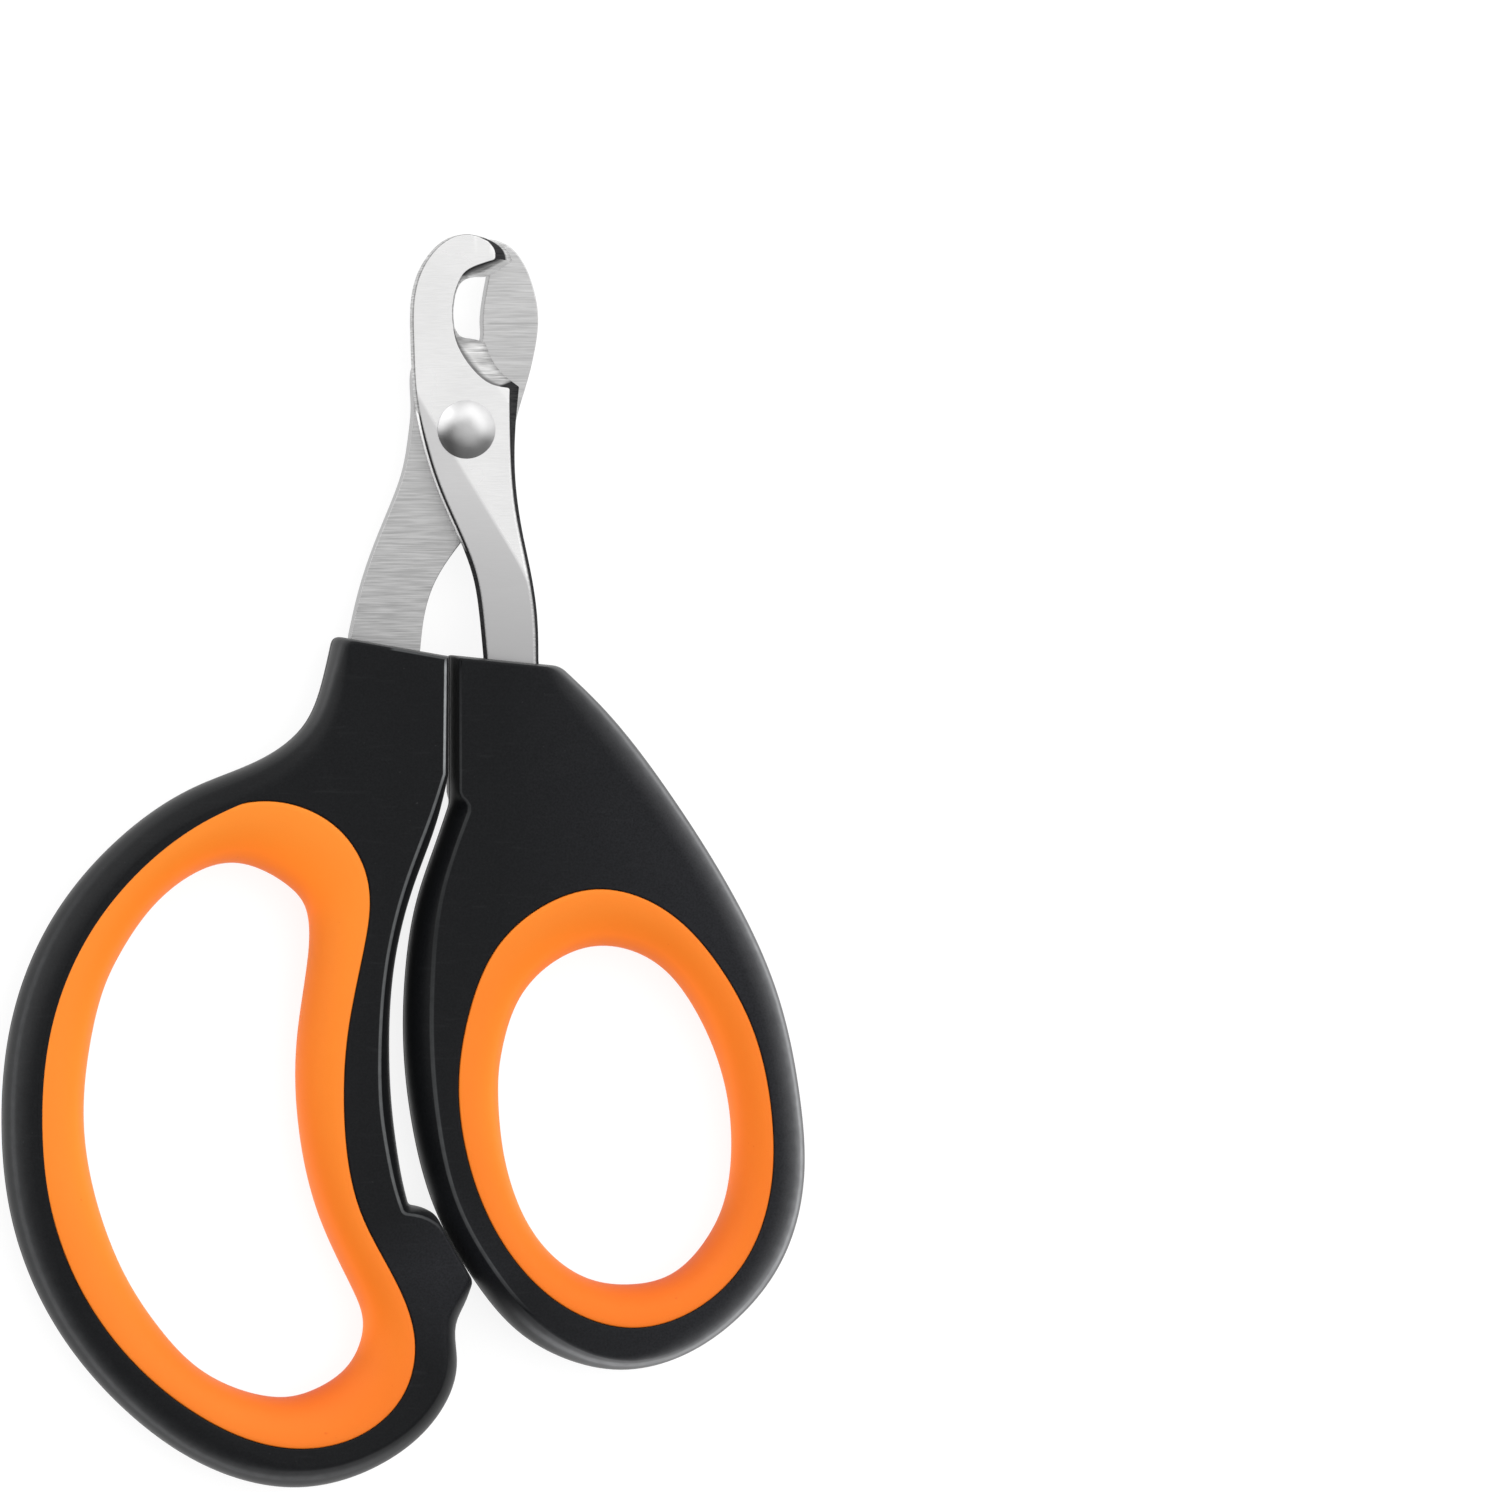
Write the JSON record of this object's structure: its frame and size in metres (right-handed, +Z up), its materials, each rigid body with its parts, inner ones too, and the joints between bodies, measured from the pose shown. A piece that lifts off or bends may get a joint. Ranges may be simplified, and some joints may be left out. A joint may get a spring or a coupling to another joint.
{
  "type": "pet nail trimmer",
  "caption": "Scissor-style pet nail trimmer: hooked and blunt steel blades on a rivet, black looped handles with orange soft grip rings.",
  "frame": {"origin": "middle of the closed trimmer's outline, on the surface that its rear faces rest on", "axes": "+X towards the thumb handle, +Y towards the jaws, +Z up through the front faces as the closed trimmer lies flat"},
  "size_m": [0.0812, 0.1252, 0.009],
  "materials": {
    "handle_plastic": "near-black moulded plastic with a fine grain",
    "grip_rubber": "smooth orange soft-touch elastomer",
    "front_blade_steel": "satin polished steel with ground bevels",
    "rear_blade_steel": "steel ground with fine crosswise lines",
    "pivot_steel": "polished domed rivet head and its washer"
  },
  "bodies": {
    "finger_side": {"finger_handle_front_shell": "handle_plastic", "finger_handle_rear_shell": "handle_plastic", "finger_grip": "grip_rubber", "rear_blade": "rear_blade_steel", "pivot_rivet": "pivot_steel", "rivet_washer": "pivot_steel"},
    "thumb_side": {"thumb_handle_front_shell": "handle_plastic", "thumb_handle_rear_shell": "handle_plastic", "thumb_grip": "grip_rubber", "front_blade": "front_blade_steel"}
  },
  "joints": [
    {"name": "blade_pivot", "type": "hinge", "parent": "finger_side", "child": "thumb_side", "pos_m": [0.00601, 0.0431, 0.0045], "axis": [0, 0, 1], "range_deg": [0, 45]}
  ]
}
